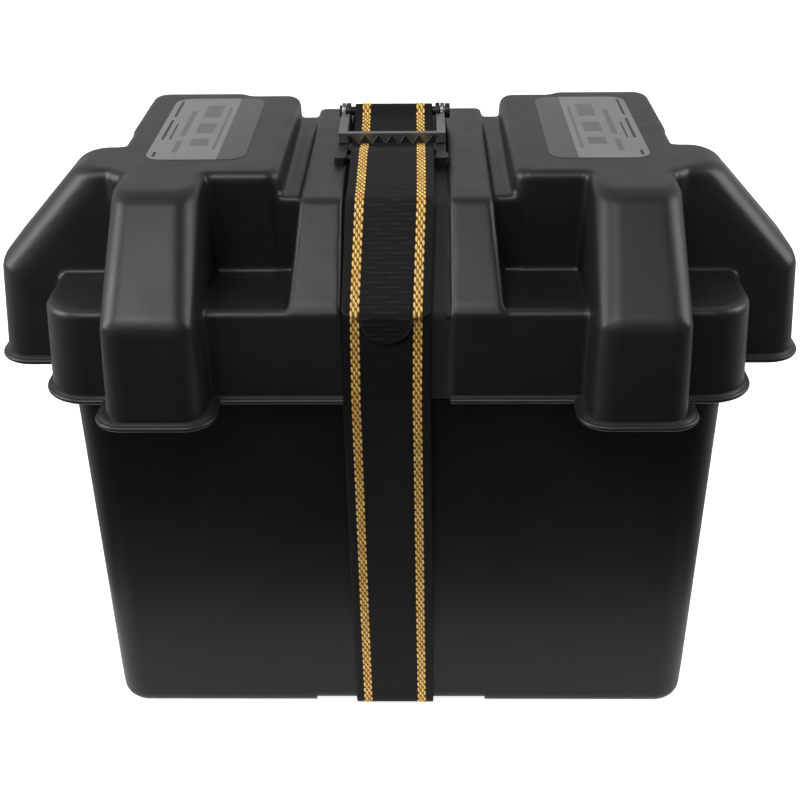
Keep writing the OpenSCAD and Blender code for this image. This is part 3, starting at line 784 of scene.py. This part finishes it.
def web_columns():
    """Places across half the webbing, closer together at the selvedge and the stripe's edges."""
    middle = list(np.linspace(0.0, STRIPE_AT - STRIPE_HALF - 0.5, 9))
    stripe = list(np.linspace(STRIPE_AT - STRIPE_HALF, STRIPE_AT + STRIPE_HALF, 7))
    selvedge = [WEB_W / 2 - d for d in (2.9, 1.8, 0.65, 0.33, 0.1, 0.0)]
    half = middle + stripe + selvedge
    return np.array([-u for u in half[:0:-1]] + half)


def half_thickness(u):
    """Half the webbing's thickness at distance u from its middle, with round selvedges."""
    r = WEB_T / 2
    in_edge = np.clip((np.abs(u) - (WEB_W / 2 - r)) / r, 0, 1)
    return r * np.sqrt(np.maximum(1 - in_edge ** 2, 0.0))


def side_drift(y, z):
    """How far the strap wanders sideways: it was threaded by hand, so it isn't quite straight."""
    height = np.array([0, 62, 125, RIM_Z, LEDGE_Z, BLOCK_Z, BLOCK_Z + 12])
    front = np.array([0.3, -0.35, -0.9, -1.4, -1.1, 0.5, 0.3])
    rear = np.array([0.3, 0.6, 0.4, -0.2, -0.4, 0.2, 0.3])
    share = np.clip((y + 30) / 60, 0, 1)
    return np.interp(z, height, front) * (1 - share) + np.interp(z, height, rear) * share


class StrapLine:
    """The strap's way round the box: places on it from the distance along, across and out."""

    def __init__(self):
        self.line, self.length = rounded_line(strap_route())
        self.total = self.length[-1]

    def middle(self, at):
        return np.stack([np.interp(at, self.length, self.line[:, k]) for k in (0, 1)], axis=-1)

    def place(self, at, across, out):
        """Points at distance at along the strap, across from its middle and out from its inner face."""
        here = self.middle(at)
        along = self.middle(at + 0.4) - self.middle(at - 0.4)
        along /= np.linalg.norm(along, axis=-1)[..., None]
        y = here[..., 0] - along[..., 1] * out
        z = here[..., 1] + along[..., 0] * out
        x = STRAP_X + across + side_drift(here[..., 0], here[..., 1])
        return np.stack(np.broadcast_arrays(x, y, z), axis=-1)


def tail_ribs(v, u):
    """How high each crosswise rib of the tail stands, from 0 to 1: they are uneven, as woven."""
    number = np.round(v / RIB_PITCH)
    uneven = 0.55 + 0.5 * np.sin(number * 2.4 + u * 0.35) + 0.35 * np.sin(number * 5.1 - u * 0.8)
    ridge = np.clip(np.cos(2 * math.pi * v / RIB_PITCH), 0, 1)
    return ridge * np.clip(uneven, 0.12, 1.0)


def strap_surface(strap, material):
    step = RIB_PITCH / 2
    fine = np.arange(0, TAIL_RIBBED, step / 2)
    coarse = np.linspace(TAIL_RIBBED, strap.total, int((strap.total - TAIL_RIBBED) / step))
    at = np.concatenate([fine, coarse])
    columns = web_columns()
    rows, count = len(at), len(columns)
    u = np.broadcast_to(columns, (rows, count))
    v = np.broadcast_to(at[:, None], (rows, count))
    tip = at[:, None]
    round_half = np.sqrt(np.maximum(TIP_R ** 2 - (TIP_R - np.minimum(tip, TIP_R)) ** 2, 0.04))
    opened = np.clip((tip - TIP_R) / SHOULDER, 0, 1)
    half_width = round_half + (WEB_W / 2 - TIP_R) * np.sqrt(1 - (1 - opened) ** 2)
    half_width = np.minimum(half_width, WEB_W / 2)
    across = np.clip(u, -half_width, half_width)
    h = half_thickness(across)
    stripe = np.clip((STRIPE_HALF + 0.25 - np.abs(np.abs(across) - STRIPE_AT)) / 0.5, 0, 1)
    on_tail = np.clip((TAIL_RIBBED - 4 - v) / 12, 0, 1) * np.clip(v / 2, 0, 1)
    plain = np.clip((STRIPE_AT - STRIPE_HALF - np.abs(u)) / 1.5, 0, 1)
    ribs = np.cos(2 * math.pi * v / RIB_PITCH) * RIB_RISE * (1 - on_tail)
    ribs = plain * (ribs + tail_ribs(v, u) * TAIL_RIB_RISE * on_tail)
    face = h > WEB_T / 4
    top = strap.place(v, across, WEB_T / 2 + h + (stripe * STRIPE_RISE + ribs) * face)
    under = strap.place(v, across, WEB_T / 2 - h)
    for side in (top, under):
        side[..., 2] = np.maximum(side[..., 2], 0.06)
    n = rows * count
    all_points = np.concatenate([top.reshape(-1, 3), under.reshape(-1, 3)])
    # The tail's rib tops are lightened in colour as painted highlight; the cut edge round its tip is
    # lighter too.
    cut_edge = (half_width < WEB_W / 2 - 0.05) * np.clip(1.6 - (half_width - np.abs(across)) / 0.5, 0, 1)
    rib_highlight_and_cut_edge = np.maximum(tail_ribs(v, u) * on_tail * plain, cut_edge)
    weave = np.stack([np.stack([across, v, rib_highlight_and_cut_edge], axis=2)] * 2).reshape(-1, 3)
    i, j = np.meshgrid(np.arange(rows - 1), np.arange(count - 1), indexing="ij")
    a = (i * count + j).ravel()
    upper = np.stack([a, a + count, a + count + 1, a + 1], axis=1)
    lower = np.stack([a, a + 1, a + count + 1, a + count], axis=1) + n
    faces = [*upper, *lower]
    ends = np.arange(count - 1)
    for row in (0, rows - 1):
        base = row * count + ends
        quads = np.stack([base, base + 1, base + 1 + n, base + n], axis=1)
        faces += list(quads if row == 0 else quads[:, ::-1])
    piece = mesh_object("strap", all_points, faces, material)
    place = piece.data.attributes.new("weave", "FLOAT_VECTOR", "POINT")
    place.data.foreach_set("vector", weave.astype(np.float32).ravel())
    mend_faces(piece, 0.004)
    return piece


def stretch_with_lid(piece):
    """Bakes the piece's placement into its mesh."""
    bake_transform(piece)


def grain_shape(sides=6, stations=(-0.82, -0.3, 0.3, 0.82)):
    """A closed grain of rice along Y, with half sizes of 1, as points and faces."""
    points = [(0, -1, 0)]
    for t in stations:
        r = math.sqrt(1 - t * t)
        points += [(r * math.cos(a), t, r * math.sin(a)) for a in np.arange(sides) * 2 * math.pi / sides]
    points.append((0, 1, 0))
    last = len(points) - 1
    faces = []
    for k in range(sides):
        nxt = (k + 1) % sides
        faces.append([0, 1 + k, 1 + nxt])
        faces.append([last, last - sides + nxt, last - sides + k])
        for ring in range(len(stations) - 1):
            a, b = 1 + ring * sides, 1 + (ring + 1) * sides
            faces.append([a + k, b + k, b + nxt, a + nxt])
    return np.array(points), faces


def make_braid(strap):
    """The two gold stripes: staggered rows of stitches that stand a little proud of the webbing."""
    grain, grain_faces = grain_shape()
    long, wide = grain[:, 1] * STITCH_LONG, grain[:, 0] * STITCH_HALF
    step_v = long * math.cos(STITCH_SLANT) - wide * math.sin(STITCH_SLANT)
    step_u = -long * math.sin(STITCH_SLANT) - wide * math.cos(STITCH_SLANT)
    start = TIP_R + 1.5
    reach = STRIPE_HALF - STITCH_HALF * 0.85
    points = []
    for side in (-1, 1):
        for row, offset in enumerate(np.linspace(-reach, reach, STITCH_ROWS)):
            first = start + STITCH_PITCH * 0.5 * (row % 2)
            at = np.arange(first, strap.total - 2, STITCH_PITCH)[:, None] + step_v[None, :]
            out = WEB_T - 0.02 + grain[None, :, 2] * STITCH_RISE
            points.append(strap.place(at, side * STRIPE_AT + offset + step_u[None, :], out).reshape(-1, 3))
    points = np.concatenate(points)
    points[:, 2] = np.maximum(points[:, 2], 0.02)
    size = len(grain)
    faces = [[k + f for f in face] for k in range(0, len(points), size) for face in grain_faces]
    piece = mesh_object("strap_braid", points, faces, gold_material())
    stretch_with_lid(piece)


def webbing_material():
    """Black polyester webbing, brown under the two gold braids and darker at their edges."""
    m = Shader("webbing")
    u, v, rib_highlight_and_cut_edge = m.attribute("weave")
    from_stripe = m.math("SUBTRACT", m.math("ABSOLUTE", u), STRIPE_AT)
    share = m.math("DIVIDE", from_stripe, STRIPE_HALF)
    from_middle = m.math("ABSOLUTE", share)
    in_stripe = m.ramp(from_middle, 0.98, 1.14, 1.0, 0.0)
    ground = m.mix(m.noise(m.object_place(), 900), (0.120, 0.050, 0.009), (0.220, 0.105, 0.018))
    stripe = m.mix(m.ramp(from_middle, 0.62, 1.0), ground, (0.030, 0.010, 0.003))
    warp = m.math("SINE", m.math("MULTIPLY", u, 2 * math.pi / 0.9))
    weft = m.math("SINE", m.math("MULTIPLY", v, 2 * math.pi / (RIB_PITCH / 2)))
    cloth = m.math("MULTIPLY", warp, weft)
    black = m.mix(m.ramp(cloth, -0.6, 0.9), (0.0018, 0.0018, 0.0020), (0.0048, 0.0048, 0.0051))
    # The black is lightened by rib_highlight_and_cut_edge: painted highlight on the tail's ribs, and the
    # lighter cut edge.
    color = m.mix(in_stripe, m.mix(m.ramp(rib_highlight_and_cut_edge, 0.05, 1.0), black, grey(0.020)), stripe)
    normal = m.bump(m.math("MULTIPLY", cloth, m.math("SUBTRACT", 1.0, in_stripe)), 0.00006, 0.7)
    return m.finish(color, m.ramp(cloth, -1, 1, 0.78, 0.62), normal, 0.22, Sheen_Weight=0.02,
                    Sheen_Roughness=0.5)


def gold_material():
    """Shiny gold polyester thread, a little uneven in tone."""
    m = Shader("gold_thread")
    here = m.object_place()
    tone = m.ramp(m.noise(here, 260), 0.35, 0.65)
    color = m.mix(tone, (0.78, 0.44, 0.085), (0.96, 0.67, 0.190))
    twist = m.noise(here, 2600)
    return m.finish(color, 0.36, m.bump(twist, 0.00008, 0.6), 0.6)


def make_strap():
    strap = StrapLine()
    piece = strap_surface(strap, webbing_material())
    piece.data.set_sharp_from_angle(angle=math.radians(70))
    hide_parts("strap_bottom_run", "strap_front_run", "strap_back_run", "strap_top_front",
                "strap_top_back", "strap_tail")
    stretch_with_lid(piece)
    make_braid(strap)
    print(f"strap length {strap.total:.0f} mm")


# ---- CAD nodes that keep their shape ----

def dress(name, material, bevel=0.0):
    """Gives a CAD node its material and, where asked, rounds its edges."""
    piece = nodes[name]
    piece.data.materials.clear()
    piece.data.materials.append(material)
    if bevel:
        weld = piece.modifiers.new("weld", "WELD")
        weld.merge_threshold = 0.01 * MM
        bevelled(piece, bevel)


def ridge(start, end, width, rise):
    """A slim roof-shaped ridge on a face that looks forward, from start to end as (x, y, z)."""
    a, b = np.array(start, float), np.array(end, float)
    along = (b - a) / np.linalg.norm(b - a)
    side = np.cross(along, (0, 1, 0)) * width / 2
    points = [q + d for q in (a, b) for d in (side + (0, 0.2, 0), -side + (0, 0.2, 0), -side,
                                              np.array((0, -rise, 0)), side)]
    faces = [[k, (k + 1) % 5, 5 + (k + 1) % 5, 5 + k] for k in range(5)]
    return [tuple(q) for q in points], faces + [[4, 3, 2, 1, 0], [5, 6, 7, 8, 9]]


def make_tooth_edges():
    """The raised edges of the clamp's teeth, and the web that closes the gaps between them."""
    front, tip = BITE_Y - TOOTH_BAR_T / 2, BITE_Z + WEB_T + BITE_GAP
    web_half = TEETH * TOOTH_PITCH / 2 - 0.3
    shapes = [box_points((STRAP_X - web_half, front + 0.3, tip + 0.5),
                         (STRAP_X + web_half, front + 1.5, tip + TOOTH_H + 0.3))]
    for i in range(TEETH):
        x = STRAP_X + (i - (TEETH - 1) / 2) * TOOTH_PITCH
        for side in (-1, 1):
            shapes.append(ridge((x + side * 0.35, front, tip + 0.3),
                                (x + side * TOOTH_PITCH * 0.46, front, tip + TOOTH_H),
                                TOOTH_EDGE_W, TOOTH_EDGE_RISE))
    piece = mesh_object("clamp_tooth_edges", *merged(shapes), SHADED_FRAME_PLASTIC, smooth=False)
    mend_faces(piece)
    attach(piece, "clamp")


def thread_material():
    m = Shader("thread")
    twist = m.noise(m.object_place(), 3000)
    color = m.mix(twist, grey(0.02), grey(0.06))
    return m.finish(color, 0.7, m.bump(twist, 0.0001))


def steel_material():
    m = Shader("pin_steel")
    here = m.object_place()
    color = m.mix(m.noise(here, 300), grey(0.010), grey(0.018))
    rough = m.ramp(m.noise(here, 120, 3), 0.3, 0.7, 0.36, 0.48)
    return m.finish(color, rough, Metallic=0.3)


# ---- labels ----

LABEL_STRIP, LABEL_R = 12.5, 8.0


def label_material(side):
    """Matt grey film: a lighter panel outside, a darker strip inside, and rows of plain bars."""
    m = Shader("label_film_" + ("right" if side > 0 else "left"))
    here = m.object_place()
    place = m.parts(here)
    x = m.math("MULTIPLY", place[0], side / MM)
    y = m.math("MULTIPLY", place[1], 1 / MM)
    strip_x = label_low.x + LABEL_STRIP
    light = m.ramp(x, strip_x - 0.15, strip_x + 0.15)

    def bars(rows):
        """Share covered by rows of (distance from the strip, half width, start, stop)."""
        covered = 0.0
        for at, half, start, stop in rows:
            off = m.math("ABSOLUTE", m.math("SUBTRACT", x, strip_x + at))
            mask = m.math("MULTIPLY", m.ramp(off, half - 0.15, half + 0.15, 1.0, 0.0),
                          m.math("MULTIPLY", m.ramp(y, start - 0.2, start + 0.2),
                                 m.ramp(y, stop - 0.2, stop + 0.2, 1.0, 0.0)))
            covered = m.math("MAXIMUM", covered, mask)
        return covered

    fine = bars([(29.0, 0.7, -40, -33), (29.0, 0.7, -14, 18), (29.0, 0.7, 24, 52), (25.6, 0.4, -14, 12)])
    broad = bars([(20.5, 1.3, -34, -16), (20.5, 1.3, -8, 34), (11.0, 4.2, -24, -13), (11.0, 4.2, -4, 12),
                  (11.0, 4.2, 22, 44), (3.2, 0.7, -30, 40)])
    mottle = m.noise(here, 60, 3)
    panel = m.mix(m.ramp(mottle, 0.3, 0.7), grey(0.185), grey(0.205))
    strip = m.mix(m.ramp(mottle, 0.3, 0.7), grey(0.080), grey(0.090))
    film = m.mix(light, strip, m.mix(broad, panel, grey(0.125)))
    color = m.mix(fine, film, grey(0.025))
    normal = m.bump(m.noise(here, 1800), 0.00001, 0.6)
    return m.finish(color, m.ramp(mottle, 0.3, 0.7, 0.50, 0.56), normal, 0.45)


def make_label(side):
    name = "label_right" if side > 0 else "label_left"
    low, high = box_mm(name)
    half_x, half_y = (high.x - low.x) / 2, (high.y - low.y) / 2
    middle = (low + high) / 2
    thick = high.z - low.z
    levels = [(0.0, 0.0), (0.0, thick - 0.1), (0.04, thick - 0.03), (0.12, thick)]
    points, faces = ring_mesh([(half_x - d, half_y - d, LABEL_R - d, z) for d, z in levels])
    points = [(x + middle.x, y + middle.y, z + low.z) for x, y, z in points]
    piece = mesh_object(name + "_film", points, faces, label_material(side))
    piece.data.set_sharp_from_angle(angle=math.radians(40))
    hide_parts(name)
    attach(piece, "lid")


# ---- stage: lengths of lamps and camera in metres ----

FLOOR_HALF, NEAR_MARGIN, FLOOR_Z, NEAR_Z = 6000, 75, -0.2, -0.4
WORLD_FRONT, WORLD_BACK = 0.08, 0.60
WORLD_DIM_UNTIL, WORLD_BRIGHT_FROM = -0.45, 0.75
LAMP_TARGET = (0, 0, 0.2)


def floor_sheet(name, half_x, half_y, z, glow):
    """A level white rectangle that gives off a little light."""
    points = [(-half_x, -half_y, z), (half_x, -half_y, z), (half_x, half_y, z), (-half_x, half_y, z)]
    white = Shader(name).finish(grey(0.93), 0.9, None, 0.0, Emission_Strength=glow,
                                Emission_Color=(*grey(1), 1))
    return mesh_object(name, points, [(0, 1, 2, 3)], white)


def make_floor():
    """The floor that the camera sees, and below it the small one that lights and mirrors in the box."""
    floor = floor_sheet("floor", FLOOR_HALF, FLOOR_HALF, FLOOR_Z, 0.85)
    floor.visible_glossy = floor.visible_diffuse = floor.visible_shadow = False
    near = floor_sheet("floor_near_the_box", TUB_LEN / 2 + NEAR_MARGIN, TUB_WID / 2 + NEAR_MARGIN,
                       NEAR_Z, 0.40)


def softbox(name, place, width, height, power):
    """A rectangular lamp that faces the box."""
    light = bpy.data.lights.new(name, "AREA")
    light.shape = "RECTANGLE"
    light.size, light.size_y = width, height
    light.energy = power
    lamp = bpy.data.objects.new(name, light)
    bpy.context.scene.collection.objects.link(lamp)
    lamp.location = place
    lamp.rotation_euler = (Vector(LAMP_TARGET) - Vector(place)).to_track_quat("-Z", "Y").to_euler()
    lamp.visible_camera = False


def studio_world():
    """Soft light from a pale backdrop behind and beside the box, dim towards the front."""
    world = bpy.data.worlds.new("studio")
    world.use_nodes = True
    tree = world.node_tree
    link = tree.links.new
    light = tree.nodes["Background"]
    place = tree.nodes.new("ShaderNodeTexCoord")
    split = tree.nodes.new("ShaderNodeSeparateXYZ")
    link(place.outputs["Generated"], split.inputs[0])
    back = tree.nodes.new("ShaderNodeMapRange")
    back.interpolation_type = "SMOOTHSTEP"
    link(split.outputs["Y"], back.inputs[0])
    reach = WORLD_DIM_UNTIL, WORLD_BRIGHT_FROM, WORLD_FRONT, WORLD_BACK
    for socket, value in zip(back.inputs[1:5], reach):
        socket.default_value = value
    link(back.outputs[0], light.inputs[1])
    backdrop = tree.nodes.new("ShaderNodeBackground")
    for shader in (light, backdrop):
        shader.inputs[0].default_value = (*grey(1), 1)
    path = tree.nodes.new("ShaderNodeLightPath")
    either = tree.nodes.new("ShaderNodeMixShader")
    link(path.outputs["Is Camera Ray"], either.inputs[0])
    link(light.outputs[0], either.inputs[1])
    link(backdrop.outputs[0], either.inputs[2])
    link(either.outputs[0], tree.nodes["World Output"].inputs[0])
    bpy.context.scene.world = world


def make_light():
    studio_world()
    softbox("key", (-0.45, -1.25, 1.75), 1.3, 1.0, 22)
    softbox("left", (-1.85, -0.35, 0.98), 1.1, 1.3, 31)
    softbox("right", (1.9, 0.05, 1.15), 1.1, 1.3, 21)
    bpy.context.scene.view_settings.view_transform = "Standard"


def make_camera():
    """A camera in front and above, looking down at the box."""
    place = Vector((0.01023, -0.62379, 0.44775))
    down, left, roll = math.radians(27.68), math.radians(0.99), math.radians(-0.58)
    right = Vector((math.cos(left), math.sin(left), 0))
    up = Vector((-math.sin(left) * math.sin(down), math.cos(left) * math.sin(down), math.cos(down)))
    ahead = Vector((-math.sin(left) * math.cos(down), math.cos(left) * math.cos(down), -math.sin(down)))
    across = right * math.cos(roll) + up * math.sin(roll)
    over = up * math.cos(roll) - right * math.sin(roll)
    camera = bpy.data.objects.new("camera", bpy.data.cameras.new("camera"))
    bpy.context.scene.collection.objects.link(camera)
    camera.matrix_world = Matrix((across, over, -ahead)).transposed().to_4x4()
    camera.location = place
    camera.data.lens = 60.74
    camera.data.sensor_width = 36
    camera.data.clip_start = 0.02
    camera.data.clip_end = 50
    bpy.context.scene.camera = camera


make_camera()
make_floor()
make_light()
make_lid()
make_tub()
make_strap()
make_label(1)
make_label(-1)
dress("strap_stitching", thread_material())
dress("buckle_frame", SHADED_FRAME_PLASTIC, 0.5)
dress("buckle_clamp", CLAMP_PLASTIC, 0.45)
dress("buckle_pin", steel_material(), 0.4)
make_tooth_edges()
